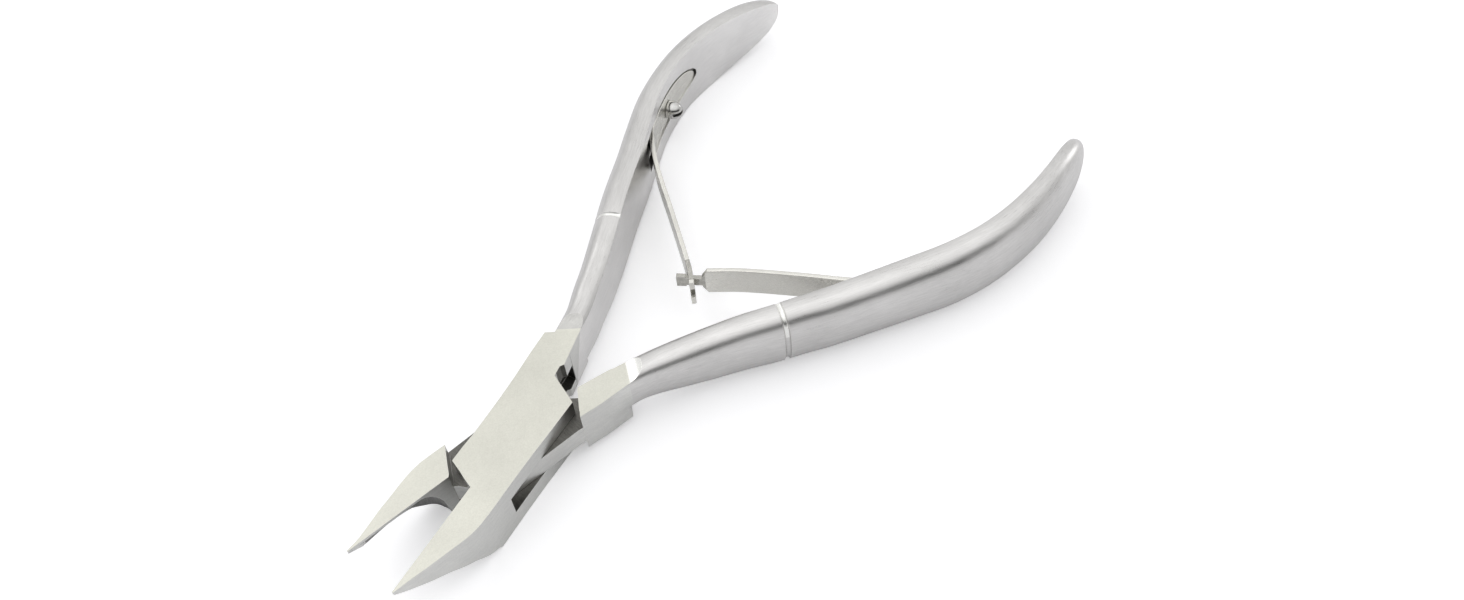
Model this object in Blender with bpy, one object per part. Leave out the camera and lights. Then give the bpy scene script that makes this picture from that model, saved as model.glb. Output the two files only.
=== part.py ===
# Cuticle nipper with a box joint, two leaf springs and two spring screws.
# Frame: the pivot axis is world Z, the ground underside of the box joint is
# z = 0, the jaws point along -Y and the handles along +Y.  Units: metres.
# Lengths below are in millimetres and are scaled by MM when a mesh is made.
import bpy
import bmesh
import math
from mathutils import Matrix, Vector

MM = 0.001

# ---------------------------------------------------------------- dimensions
OPEN_OUTER = 11.5          # rest angle of the outer half, degrees
OPEN_INNER = -7.8          # rest angle of the inner half, degrees
Z_TOP = 9.3                # thickness of the ground box and jaws
SLOT_LO, SLOT_HI = 2.85, 6.45      # slot between the two cheeks
TONGUE_GAP = 0.06          # tongue to cheek, each side
PIN_R, PIN_FIT = 2.0, 0.06
EDGE_GAP = 0.06            # cutting edge to the closing line, each half
LAND = 0.5                 # height of the cutting land
Z_LEAF = 6.15              # mid height of the springs
Z_SCREW = 5.7              # height of the screws' axes
LEAF_T, LEAF_H = 0.8, 2.6  # leaf thickness and half height
POCKET_DEPTH, POCKET_H = 1.12, 3.7
POCKET_LOW = 0.80          # the pocket's lower wall is closer to the leaf than its upper one
FOOT_DEPTH = 0.22          # spring face below the handle's inner face
FOOT_TAPER, POCKET_TAPER = 8.5, 12.0     # length of the rounded ends
SCREW_R, SCREW_HEAD_R, SCREW_HEAD_H = 0.85, 1.7, 2.7
RUNOUT_R = 5.0             # radius of the grinding wheel run-out
RAW = 0.7                  # stock left above and below before grinding

# jaw plan, distance in front of the pivot and half width
JAW_OUTER = [(9.8, 5.0), (12.6, 5.0), (15.4, 4.85), (17.2, 4.45), (20.1, 3.4),
             (23.1, 2.3), (26.0, 1.15), (28.4, 0.3)]
JAW_INNER = [(9.6, 5.05), (12.8, 5.0), (14.8, 4.65), (17.1, 3.95), (19.2, 3.2),
             (21.3, 2.5), (23.4, 1.65), (25.9, 0.7), (27.95, 0.25)]
# jaw underside height against the distance in front of the pivot
JAW_BELLY = [(9.0, -RAW), (12.6, -0.35), (13.4, 0.5), (15.1, 1.3), (16.3, 2.1), (17.1, 2.7),
             (19.2, 3.6), (21.2, 4.7), (23.9, 5.9), (26.5, 7.3), (28.4, 8.65)]
# the inner half's jaw is thinned further towards its tip
JAW_BELLY_INNER = [(9.0, -RAW), (12.6, -0.35), (13.4, 0.5), (15.1, 1.5), (16.3, 2.7), (17.1, 3.6),
                   (19.2, 5.0), (21.2, 6.0), (23.9, 7.2), (26.5, 8.2), (28.4, 8.7)]

# handle stations at rest: y, inner face x of each half, depth of each half,
# inner face top, inner face bottom, crown above the inner edge, roundness
HANDLE = [
    (9.5, -1.60, 1.95, 4.1, 4.5, 9.4, 1.4, 0.90, 3.2),
    (15.0, -3.43, 3.60, 4.2, 4.7, 9.4, 1.7, 0.90, 2.9),
    (19.0, -4.82, 4.90, 4.3, 4.8, 9.3, 2.1, 0.95, 2.6),
    (23.0, -6.26, 6.45, 4.5, 4.8, 9.35, 2.2, 0.90, 2.4),
    (27.0, -8.21, 8.60, 4.8, 4.8, 9.8, 2.0, 0.75, 2.3),
    (31.0, -10.18, 11.00, 4.9, 4.8, 10.3, 1.6, 0.60, 2.3),
    (35.0, -12.34, 13.60, 5.0, 4.8, 10.9, 1.3, 0.45, 2.3),
    (39.0, -14.60, 16.40, 5.1, 4.8, 11.3, 1.0, 0.35, 2.3),
    (43.0, -16.88, 18.95, 5.25, 4.8, 11.5, 0.9, 0.30, 2.3),
    (47.0, -19.08, 21.40, 5.3, 5.0, 11.6, 0.8, 0.28, 2.3),
    (53.0, -22.24, 24.70, 5.3, 5.1, 11.7, 0.6, 0.25, 2.3),
    (59.0, -25.68, 28.10, 5.2, 5.1, 12.0, 0.4, 0.20, 2.3),
    (65.0, -28.87, 31.40, 5.1, 5.0, 12.3, 0.25, 0.20, 2.3),
    (71.0, -31.16, 33.60, 5.0, 4.9, 12.3, 0.2, 0.20, 2.3),
    (77.0, -32.52, 34.80, 5.1, 4.8, 12.2, 0.2, 0.20, 2.3),
    (83.0, -32.85, 35.25, 5.2, 4.7, 12.2, 0.2, 0.20, 2.3),
    (89.0, -32.60, 35.00, 5.2, 4.5, 12.2, 0.2, 0.20, 2.3),
    (95.0, -31.90, 34.20, 5.1, 4.2, 12.2, 0.2, 0.20, 2.3),
    (102.4, -30.45, 32.70, 4.9, 4.0, 12.2, 0.2, 0.20, 2.3),
]
# the inner half's handle is drawn in where it leaves the block: y, depth taken off, underside raised
NECK = [(12.0, 0.1, 0.4), (15.0, 0.35, 1.2), (17.3, 0.45, 1.9), (19.6, 0.42, 1.85), (22.0, 0.28, 1.25),
        (24.5, 0.12, 0.7), (27.0, 0.04, 0.25), (30.0, 0.0, 0.0)]
END_FROM, END_AT = 79.0, {-1: 102.3, 1: 101.9}    # the handle tapers in height between these
GROOVE_Y, GROOVE_W, GROOVE_D = {-1: 39.6, 1: 40.4}, 0.8, 0.35

# free part of each leaf at rest, from the lift-off to the interlock
LEAF_OUTER = [(-25.15, 58.3), (-23.5, 56.75), (-21.0, 54.65), (-17.9, 52.3),
              (-11.8, 48.0), (-5.0, 43.1), (-1.2, 40.3), (0.35, 39.1), (2.4, 37.15)]
LEAF_INNER = [(26.65, 56.3), (25.1, 54.75), (23.0, 53.2), (15.1, 48.8),
              (6.8, 43.85), (1.76, 40.1), (0.35, 39.15), (-1.64, 37.8)]
FOOT_OUTER_Y = (78.4, 75.5, 72.0, 68.0, 64.0, 60.6)
FOOT_INNER_Y = (76.4, 73.5, 70.0, 66.0, 62.0, 58.6)
SCREW_OUTER_Y, SCREW_INNER_Y = 68.3, 66.3


# ---------------------------------------------------------------- helpers
def rot(p, deg):
    c, s = math.cos(math.radians(deg)), math.sin(math.radians(deg))
    return (c * p[0] - s * p[1], s * p[0] + c * p[1])


def lerp_table(table, x, col=1):
    if x <= table[0][0]:
        return table[0][col]
    for a, b in zip(table, table[1:]):
        if x <= b[0]:
            t = (x - a[0]) / (b[0] - a[0])
            return a[col] + (b[col] - a[col]) * t
    return table[-1][col]


def hermite_table(table, x, col):
    """Smooth interpolation through the table (finite-difference tangents)."""
    n = len(table)
    i = 0
    while i < n - 2 and x > table[i + 1][0]:
        i += 1
    x0, x1 = table[i][0], table[i + 1][0]

    def slope(k):
        a, b = max(k - 1, 0), min(k + 1, n - 1)
        return (table[b][col] - table[a][col]) / (table[b][0] - table[a][0])

    h = x1 - x0
    t = (x - x0) / h
    y0, y1, m0, m1 = table[i][col], table[i + 1][col], slope(i) * h, slope(i + 1) * h
    return ((2 * t ** 3 - 3 * t ** 2 + 1) * y0 + (t ** 3 - 2 * t ** 2 + t) * m0
            + (-2 * t ** 3 + 3 * t ** 2) * y1 + (t ** 3 - t ** 2) * m1)


def curve_points(ctrl, steps):
    """Catmull-Rom curve through the control points."""
    pts = []
    n = len(ctrl)
    for i in range(n - 1):
        p0 = Vector(ctrl[max(i - 1, 0)])
        p1, p2 = Vector(ctrl[i]), Vector(ctrl[i + 1])
        p3 = Vector(ctrl[min(i + 2, n - 1)])
        d = (p2 - p1).length
        m1 = (p2 - p0) * (d / max((p2 - p0).length, 1e-9))
        m2 = (p3 - p1) * (d / max((p3 - p1).length, 1e-9))
        for k in range(steps):
            t = k / steps
            pts.append(p1 * (2 * t ** 3 - 3 * t ** 2 + 1) + m1 * (t ** 3 - 2 * t ** 2 + t)
                       + p2 * (-2 * t ** 3 + 3 * t ** 2) + m2 * (t ** 3 - t ** 2))
    pts.append(Vector(ctrl[-1]))
    return pts


def mesh_object(name, verts, faces):
    me = bpy.data.meshes.new(name)
    bm = bmesh.new()
    vs = [bm.verts.new((x * MM, y * MM, z * MM)) for x, y, z in verts]
    for f in faces:
        bm.faces.new([vs[i] for i in f])
    bmesh.ops.recalc_face_normals(bm, faces=bm.faces)
    if bm.calc_volume(signed=True) < 0:
        bmesh.ops.reverse_faces(bm, faces=bm.faces)
    bm.to_mesh(me)
    bm.free()
    ob = bpy.data.objects.new(name, me)
    bpy.context.scene.collection.objects.link(ob)
    return ob


def ring_solid(name, rings):
    """Closed solid through equal rings of points, capped at both ends."""
    n = len(rings[0])
    verts = [p for r in rings for p in r]
    faces = []
    for i in range(len(rings) - 1):
        for k in range(n):
            a, b = i * n + k, i * n + (k + 1) % n
            faces.append((a, b, b + n, a + n))
    faces.append(tuple(range(n)))
    faces.append(tuple((len(rings) - 1) * n + k for k in range(n)))
    return mesh_object(name, verts, faces)


def prism(name, outline, z0, z1):
    return ring_solid(name, [[(x, y, z0) for x, y in outline],
                             [(x, y, z1) for x, y in outline]])


def cylinder_z(name, x, y, r, z0, z1, seg=48):
    ring = [(x + r * math.cos(2 * math.pi * k / seg), y + r * math.sin(2 * math.pi * k / seg))
            for k in range(seg)]
    return prism(name, ring, z0, z1)


def combine(target, tool, operation):
    """Boolean the tool into the target with the exact solver, then drop the tool."""
    tool.hide_render = True
    tool.display_type = 'WIRE'
    mod = target.modifiers.new(operation.lower(), 'BOOLEAN')
    mod.operation = operation
    mod.solver = 'EXACT'
    mod.object = tool
    dg = bpy.context.evaluated_depsgraph_get()
    me = bpy.data.meshes.new_from_object(target.evaluated_get(dg))
    target.modifiers.clear()
    old = target.data
    target.data = me
    bpy.data.meshes.remove(old)
    bpy.data.objects.remove(tool)


def tidy(ob):
    """Merge coincident points, dissolve flat facets and triangulate."""
    bm = bmesh.new()
    bm.from_mesh(ob.data)
    bmesh.ops.remove_doubles(bm, verts=bm.verts, dist=0.000002)
    bmesh.ops.dissolve_degenerate(bm, edges=bm.edges, dist=0.000002)
    bmesh.ops.triangulate(bm, faces=bm.faces)
    bm.to_mesh(ob.data)
    bm.free()


def shade(ob, angle=32):
    ob.data.shade_smooth()
    ob.data.set_sharp_from_angle(angle=math.radians(angle))


def steel(name, colour, roughness):
    m = bpy.data.materials.new(name)
    m.use_nodes = True
    b = m.node_tree.nodes['Principled BSDF']
    b.inputs['Base Color'].default_value = (*colour, 1.0)
    b.inputs['Metallic'].default_value = 1.0
    b.inputs['Roughness'].default_value = roughness
    return m


# ---------------------------------------------------------------- handle
# side is -1 for the outer half (handle at -X) and +1 for the inner half
def inner_x(side, y):
    return hermite_table(HANDLE, y, 1 if side < 0 else 2)


def face_frame(side, y):
    """Point on the inner face and the outward direction, in plan at rest."""
    e = 0.25
    t = Vector((inner_x(side, y + e) - inner_x(side, y - e), 2 * e)).normalized()
    n = Vector((t.y, -t.x)) * side
    return Vector((inner_x(side, y), y)), n


def handle_ring(side, y, seg):
    p, n = face_frame(side, y)
    depth = hermite_table(HANDLE, y, 3 if side < 0 else 4)
    z_hi, z_lo = hermite_table(HANDLE, y, 5), hermite_table(HANDLE, y, 6)
    crown, power = hermite_table(HANDLE, y, 7), hermite_table(HANDLE, y, 8)
    if side > 0 and y < NECK[-1][0]:
        depth -= lerp_table(NECK, y, 1) if y < NECK[0][0] else hermite_table(NECK, y, 1)
        z_lo += lerp_table(NECK, y, 2) if y < NECK[0][0] else hermite_table(NECK, y, 2)
    zc, hi = (z_hi + z_lo) / 2, (z_hi - z_lo) / 2
    shift = 0.0
    end = END_AT[side]
    if y > END_FROM:
        t = (y - END_FROM) / (end + 0.25 - END_FROM)
        k = math.sqrt(max(1 - t * t, 0.0))
        hi, crown = hi * k, crown * k
        u = max(0.0, (y - end + 9.0) / 9.25)
        kd = math.sqrt(max(1 - u * u, 0.0))
        shift = depth * (1 - kd) * 0.35
        depth = depth * kd
    b = hi + crown
    g = 0.0
    if abs(y - GROOVE_Y[side]) < GROOVE_W / 2 - 0.05:
        g = GROOVE_D
    q = (1 - (hi / b) ** power) ** (1 / power)
    a = depth / (1 + q)
    d0 = q * a
    last = math.pi - math.acos(q ** (power / 2))
    ring = []
    for i in range(seg + 1):
        ph = last * (1 - 2 * i / seg)
        c, s = math.cos(ph), math.sin(ph)
        d = d0 + a * math.copysign(abs(c) ** (2 / power), c)
        z = b * math.copysign(abs(s) ** (2 / power), s)
        if i in (0, seg):
            d = 0.0
        if g:
            k = min(1.0, d / 1.2)
            d -= g * k * max(c, 0.0) if d > g else 0.0
            z -= g * s * min(1.0, 0.35 + k)
        q2 = p + n * (d + shift)
        ring.append((q2.x, q2.y, zc + z))
    return ring


def handle_solid(name, side, deg, n_ring, seg):
    ys = []
    y0, y1 = HANDLE[0][0], END_AT[side]
    gy = GROOVE_Y[side]
    for i in range(n_ring + 1):
        t = i / n_ring
        ys.append(y0 + (y1 - y0) * (t * 1.18 - 0.18 * t ** 4 if t < 1 else 1.0))
    ys = [y for y in ys if abs(y - gy) > GROOVE_W * 0.9]
    ys += [gy - GROOVE_W / 2, gy - GROOVE_W / 5, gy + GROOVE_W / 5, gy + GROOVE_W / 2]
    rings = []
    for y in sorted(ys):
        rings.append([(*rot((x, yy), -deg), z) for x, yy, z in handle_ring(side, y, seg)])
    return ring_solid(name, rings)


def pocket_solid(name, side, deg, y_from, y_end):
    """Shallow milled pocket with a long rounded end."""
    rings = []
    r = POCKET_H
    y_full = y_end - POCKET_TAPER
    ys = [y_from + (y_full - y_from) * i / 4 for i in range(5)]
    ys += [y_full + POCKET_TAPER * math.sin(math.radians(a)) for a in (16, 32, 46, 58, 68, 77, 84)]
    for y in ys:
        p, n = face_frame(side, y)
        h = r if y <= y_full else r * math.sqrt(max(1 - ((y - y_full) / POCKET_TAPER) ** 2, 0.0))
        a, b = p - n * 3.0, p + n * POCKET_DEPTH
        (ax, ay), (bx, by) = rot(a, -deg), rot(b, -deg)
        low = h * POCKET_LOW
        rings.append([(ax, ay, Z_LEAF - low), (bx, by, Z_LEAF - low),
                      (bx, by, Z_LEAF + h), (ax, ay, Z_LEAF + h)])
    return ring_solid(name, rings)


def along(name, p, n, profile, seg, deg=0.0):
    """Turned solid about the direction n through p; profile is (t, radius)."""
    side = Vector((-n.y, n.x))
    rings = []
    for t, r in profile:
        ring = []
        for k in range(seg):
            a = 2 * math.pi * k / seg
            q = p + n * t + side * (r * math.cos(a))
            x, y = rot(q, -deg)
            ring.append((x, y, Z_SCREW + r * math.sin(a)))
        rings.append(ring)
    return ring_solid(name, rings)


# ---------------------------------------------------------------- jaws
def jaw_solid(name, table, side):
    """side +1: the jaw lies at +X of its own cutting line."""
    belly = JAW_BELLY if side > 0 else JAW_BELLY_INNER
    vs = sorted(set([v for v, _ in table] + [v for v, _ in belly if table[0][0] < v < table[-1][0]]))
    rings = []
    for v in vs:
        w = lerp_table(table, v)
        zb = lerp_table(belly, v)
        a, b = EDGE_GAP * side, w * side
        rings.append([(a, -v, zb), (b, -v, zb), (b, -v, Z_TOP + RAW), (a, -v, Z_TOP + RAW)])
    return ring_solid(name, rings)


def hollow_solid(name, table, side, seg=7):
    """Hollow-ground relief under the cutting land, ending in the throat arch."""
    belly = JAW_BELLY if side > 0 else JAW_BELLY_INNER
    rings = []
    start, full = 12.6, 16.4
    vs = [start + (full - start) * (1 - math.cos(math.radians(a))) for a in (8, 24, 40, 56, 73, 90)]
    vs += [17.1, 19.2, 21.2, 23.9, 26.5, 29.5]
    for v in vs:
        k = math.sqrt(max(1 - ((full - v) / (full - start)) ** 2, 0.0)) if v < full else 1.0
        w = max(lerp_table(table, v) - 0.55, 0.12) if v < 28.4 else 0.1
        zb = min(lerp_table(belly, v), Z_TOP - LAND - 0.3)
        x_out = (EDGE_GAP + (w - EDGE_GAP) * (0.25 + 0.75 * k)) * side
        x_in = (EDGE_GAP - 1.4) * side
        top = zb + (Z_TOP - LAND - zb) * k
        ring = [(x_in, -v, -3.0), (x_out, -v, -3.0)]
        for i in range(seg + 1):
            a = math.pi / 2 * i / seg
            x = EDGE_GAP * side + (x_out - EDGE_GAP * side) * math.cos(a)
            ring.append((x, -v, zb + (top - zb) * math.sin(a)))
        ring.append((x_in, -v, top))
        rings.append(ring)
    return ring_solid(name, rings)


def grind_top(name, normal, offset):
    """Everything above the ground top, with the wheel run-out behind it."""
    nx, ny = normal
    ln = math.hypot(nx, ny)
    nx, ny = nx / ln, ny / ln
    prof = [(-60.0, Z_TOP)]
    for i in range(9):
        a = math.radians(62) * i / 8
        prof.append((offset + RUNOUT_R * math.sin(a), Z_TOP + RUNOUT_R * (1 - math.cos(a))))
    prof += [(prof[-1][0], 30.0), (-60.0, 30.0)]
    ex, ey = ny, -nx
    rings = []
    for s in (-40.0, 40.0):
        rings.append([(nx * u + ex * s, ny * u + ey * s, z) for u, z in prof])
    return ring_solid(name, rings)


def grind_bottom(name):
    return prism(name, [(-60, -60), (60, -60), (60, 60), (-60, 60)], -20.0, 0.0)


# ---------------------------------------------------------------- outer half
def build_outer_half(n_ring=34, seg=16):
    deg = OPEN_OUTER
    body = handle_solid('outer_half', -1, deg, n_ring, seg)
    box = [(-5.3, 9.2), (-5.2, 8.0), (-5.0, 4.0), (-4.9, 0.0), (-4.85, -3.0), (-4.95, -5.5),
           (-4.95, -8.1), (-2.9, -9.05), (-1.4, -9.85), (0.05, -10.5), (0.4, -10.7),
           (0.3, -11.4), (EDGE_GAP, -12.4), (EDGE_GAP, -13.0), (5.0, -12.9), (5.0, -6.0),
           (5.05, -2.0), (5.2, 3.0), (5.3, 8.0), (4.1, 8.75), (1.6, 10.15), (0.3, 10.9),
           (-0.2, 11.6)]
    combine(body, prism('box', box, -RAW, Z_TOP + RAW), 'UNION')
    root = [(-0.2, 11.6), (-0.22, 12.4), (0.05, 12.9), (0.38, 13.3), (-0.05, 15.4), (-0.95, 19.9), (-5.8, 17.2),
            (-5.6, 13.0), (-5.3, 9.2), (-3.0, 8.0), (-0.4, 8.0)]
    combine(body, prism('root', root, 1.25, Z_TOP + RAW), 'UNION')
    jaw = jaw_solid('jaw', JAW_OUTER, 1)
    combine(body, jaw, 'UNION')
    combine(body, hollow_solid('hollow', JAW_OUTER, 1), 'DIFFERENCE')
    slot = [(7.5, -7.15), (0.0, -11.2), (-0.7, -11.7), (-8.0, -11.6), (-8.0, 5.72),
            (-1.55, 9.98), (-1.55, 15.3), (3.0, 15.3), (7.5, 12.0)]
    combine(body, prism('slot', slot, SLOT_LO, SLOT_HI), 'DIFFERENCE')
    combine(body, cylinder_z('bore', 0, 0, PIN_R + PIN_FIT, -5, 20), 'DIFFERENCE')
    combine(body, grind_top('grind', (-0.482, 0.875), 17.75), 'DIFFERENCE')
    combine(body, grind_bottom('grind_under'), 'DIFFERENCE')
    combine(body, pocket_solid('pocket', -1, deg, 55.6, 79.4), 'DIFFERENCE')
    p, n = face_frame(-1, SCREW_OUTER_Y)
    combine(body, along('screw_hole', p, n, [(-1.0, SCREW_R + 0.1), (4.0, SCREW_R + 0.1)], 20, deg),
            'DIFFERENCE')
    tidy(body)
    body.rotation_euler = (0, 0, math.radians(deg))
    shade(body)
    return body


# ---------------------------------------------------------------- inner half
def build_inner_half(n_ring=34, seg=16):
    deg = OPEN_INNER
    body = handle_solid('inner_half', 1, deg, n_ring, seg)
    # the handle stops behind the box, so that the box can swing in when the jaws close
    clear = [(-1.5, 12.94), (0.722, 11.458), (5.222, 8.458), (7.5, 6.94), (7.5, 2.0), (-1.5, 2.0)]
    combine(body, prism('clear', clear, -5.0, 20.0), 'DIFFERENCE')
    block = [(0.75, 11.5), (5.25, 8.5), (5.4, 10.2), (5.6, 12.0), (5.65, 14.0), (5.75, 16.9),
             (2.45, 18.9), (1.65, 17.0), (1.35, 15.2)]
    combine(body, prism('block', block, 1.25, Z_TOP + RAW), 'UNION')
    z0, z1 = SLOT_LO + TONGUE_GAP, SLOT_HI - TONGUE_GAP
    tongue = [(5.3, 9.6), (5.1, 7.6), (5.1, -7.35), (0.3, -10.5), (-0.4, -11.4), (-4.7, -9.4),
              (-5.6, -8.3), (-5.75, -3.5), (-5.4, 3.0), (-5.1, 7.35), (-0.3, 10.5), (1.4, 12.4)]
    combine(body, prism('tongue', tongue, z0, z1), 'UNION')
    rootb = [(-EDGE_GAP, -11.2), (-0.5, -10.85), (-1.8, -10.2), (-3.3, -9.4), (-5.0, -8.5),
             (-5.05, -10.5), (-5.0, -12.9), (-EDGE_GAP, -13.0)]
    combine(body, prism('jaw_root', rootb, -RAW, Z_TOP + RAW), 'UNION')
    table = [(11.3, lerp_table(JAW_INNER, 11.3))] + [r for r in JAW_INNER if r[0] > 11.5]
    combine(body, jaw_solid('jaw', table, -1), 'UNION')
    combine(body, hollow_solid('hollow', JAW_INNER, -1), 'DIFFERENCE')
    combine(body, cylinder_z('bore', 0, 0, PIN_R + PIN_FIT, -5, 20), 'DIFFERENCE')
    combine(body, grind_top('grind', (0.482, 0.875), 17.6), 'DIFFERENCE')
    combine(body, grind_bottom('grind_under'), 'DIFFERENCE')
    combine(body, pocket_solid('pocket', 1, deg, 52.8, 77.4), 'DIFFERENCE')
    p, n = face_frame(1, SCREW_INNER_Y)
    combine(body, along('screw_hole', p, n, [(-1.0, SCREW_R + 0.1), (4.0, SCREW_R + 0.1)], 20, deg),
            'DIFFERENCE')
    tidy(body)
    body.rotation_euler = (0, 0, math.radians(deg))
    shade(body)
    return body


# ---------------------------------------------------------------- springs
def leaf_path(side, foot_ys, free):
    ctrl = []
    for y in foot_ys:
        p, n = face_frame(side, y)
        q = p + n * (FOOT_DEPTH + LEAF_T / 2)
        ctrl.append((q.x, q.y))
    return curve_points(ctrl + free, 4)


def leaf_solid(name, path, hinge, foot_round=True):
    """Strip of constant thickness; the foot end is rounded in height."""
    dist = [0.0]
    for a, b in zip(path, path[1:]):
        dist.append(dist[-1] + (b - a).length)
    # extra stations on the rounded foot
    stations = [FOOT_TAPER * (1 - math.cos(math.radians(a))) for a in (9, 18, 28, 40, 53, 66, 79)]
    stations += [d for d in dist if d > FOOT_TAPER]
    rings = []
    for s in stations:
        i = 0
        while i < len(dist) - 2 and s > dist[i + 1]:
            i += 1
        t = (s - dist[i]) / (dist[i + 1] - dist[i])
        p = path[i].lerp(path[i + 1], t)
        a, b = path[max(i - 1, 0)], path[min(i + 2, len(path) - 1)]
        d = (b - a).normalized()
        n = Vector((d.y, -d.x)) * (LEAF_T / 2)
        h = LEAF_H
        if s < FOOT_TAPER:
            h = LEAF_H * math.sqrt(max(1 - ((FOOT_TAPER - s) / FOOT_TAPER) ** 2, 0.0))
        u, v = p + n - hinge, p - n - hinge
        rings.append([(u.x, u.y, Z_LEAF - h), (v.x, v.y, Z_LEAF - h),
                      (v.x, v.y, Z_LEAF + h), (u.x, u.y, Z_LEAF + h)])
    ob = ring_solid(name, rings)
    return ob, path, dist


def slab(name, p, q, half, z0, z1):
    """Box along the plan segment p-q."""
    d = (q - p).normalized()
    n = Vector((d.y, -d.x)) * half
    return prism(name, [tuple(p + n), tuple(q + n), tuple(q - n), tuple(p - n)], z0, z1)


def build_outer_spring():
    path = leaf_path(-1, FOOT_OUTER_Y, LEAF_OUTER)
    hinge = Vector(LEAF_OUTER[0])
    ob, path, dist = leaf_solid('outer_spring', path, hinge)
    a, b = Vector(LEAF_OUTER[-2]) - hinge, Vector(LEAF_OUTER[-1]) - hinge
    d = (b - a).normalized()
    combine(ob, slab('fork', a - d * 1.2, b + d * 3.0, 1.5, Z_LEAF - 1.0, Z_LEAF + 1.0),
            'DIFFERENCE')
    p, n = face_frame(-1, SCREW_OUTER_Y)
    combine(ob, along('hole', p - hinge, n, [(-3.0, SCREW_R + 0.3), (3.0, SCREW_R + 0.3)], 20),
            'DIFFERENCE')
    tidy(ob)
    ob.location = (hinge.x * MM, hinge.y * MM, 0)
    shade(ob)
    return ob


def build_inner_spring():
    path = leaf_path(1, FOOT_INNER_Y, LEAF_INNER)
    hinge = Vector(LEAF_INNER[0])
    ob, path, dist = leaf_solid('inner_spring', path, hinge)
    a, b = Vector(LEAF_INNER[-3]) - hinge, Vector(LEAF_INNER[-1]) - hinge
    d = (b - a).normalized()
    # neck and head: cut the full-height strip down on both edges
    for s in (-1, 1):
        zn = sorted((Z_LEAF + s * 0.8, Z_LEAF + s * 6.0))
        combine(ob, slab('neck', a, a + d * 2.3, 1.5, zn[0], zn[1]), 'DIFFERENCE')
        zh = sorted((Z_LEAF + s * 1.25, Z_LEAF + s * 6.0))
        combine(ob, slab('head', a + d * 2.3 - d * 0.01, b + d * 2.0, 1.5, zh[0], zh[1]),
                'DIFFERENCE')
    p, n = face_frame(1, SCREW_INNER_Y)
    combine(ob, along('hole', p - hinge, n, [(-3.0, SCREW_R + 0.3), (3.0, SCREW_R + 0.3)], 20),
            'DIFFERENCE')
    tidy(ob)
    ob.location = (hinge.x * MM, hinge.y * MM, 0)
    shade(ob)
    return ob


# ---------------------------------------------------------------- fasteners
def build_screw(name, side, y):
    """Slotted dome-head screw; its axis is square to the handle's inner face."""
    p, n = face_frame(side, y)
    top = FOOT_DEPTH - 0.06                        # underside of the head, just off the spring
    prof = [(3.8, SCREW_R * 0.75), (3.5, SCREW_R), (top, SCREW_R), (top - 0.001, SCREW_HEAD_R),
            (top - 0.35, SCREW_HEAD_R)]
    for a in (18, 36, 54, 72):
        r = SCREW_HEAD_R * math.cos(math.radians(a))
        t = top - 0.35 - (SCREW_HEAD_H - 0.35) * math.sin(math.radians(a))
        prof.append((t, r))
    ob = along(name, Vector((0, 0)), n, prof, 24)
    side_v = Vector((-n.y, n.x))
    a, b = -n * (SCREW_HEAD_H + 1.0 - top), -n * (SCREW_HEAD_H - 0.75 - top)
    half = 0.28
    c = side_v * 3.0
    # the driver slot runs along the handle
    slot = [tuple(a + c), tuple(a - c), tuple(b - c), tuple(b + c)]
    combine(ob, prism('slot', slot, Z_SCREW - half, Z_SCREW + half), 'DIFFERENCE')
    tidy(ob)
    ob.location = (p.x * MM, p.y * MM, 0)
    shade(ob)
    return ob


def build_pin():
    ob = cylinder_z('pivot_pin', 0, 0, PIN_R, 0.0, Z_TOP)
    shade(ob)
    return ob


def main():
    for ob in list(bpy.data.objects):
        bpy.data.objects.remove(ob)
    outer = build_outer_half()
    inner = build_inner_half()
    pin = build_pin()
    spring_a = build_outer_spring()
    spring_b = build_inner_spring()
    screw_a = build_screw('outer_spring_screw', -1, SCREW_OUTER_Y)
    screw_b = build_screw('inner_spring_screw', 1, SCREW_INNER_Y)

    satin = (0.60, 0.60, 0.57)
    outer.data.materials.append(steel('outer_half_steel', satin, 0.34))
    inner.data.materials.append(steel('inner_half_steel', satin, 0.34))
    pin.data.materials.append(steel('pin_steel', (0.60, 0.60, 0.57), 0.32))
    spring_a.data.materials.append(steel('outer_spring_steel', (0.66, 0.67, 0.62), 0.28))
    spring_b.data.materials.append(steel('inner_spring_steel', (0.66, 0.67, 0.62), 0.28))
    screw_a.data.materials.append(steel('outer_screw_steel', (0.72, 0.72, 0.72), 0.12))
    screw_b.data.materials.append(steel('inner_screw_steel', (0.72, 0.72, 0.72), 0.12))

    # the inner half and its screw hang from an empty on the pivot axis
    pivot = bpy.data.objects.new('pivot_axis', None)
    bpy.context.scene.collection.objects.link(pivot)
    for ob in (inner, screw_b, spring_b):
        ob.parent = pivot


main()
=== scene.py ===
# Looks of the cuticle nipper: fine meshes and steel finishes, some with painted shade and highlights, around
# the imported frame.
# The halves, leaves, screws and pin are made again at a fine resolution from the
# same dimensions; the halves, the pin and the screws ride on the halves' bodies, and the leaves stay baked in
# place.
import bpy
import bmesh
import math
from mathutils import Matrix, Vector


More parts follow.
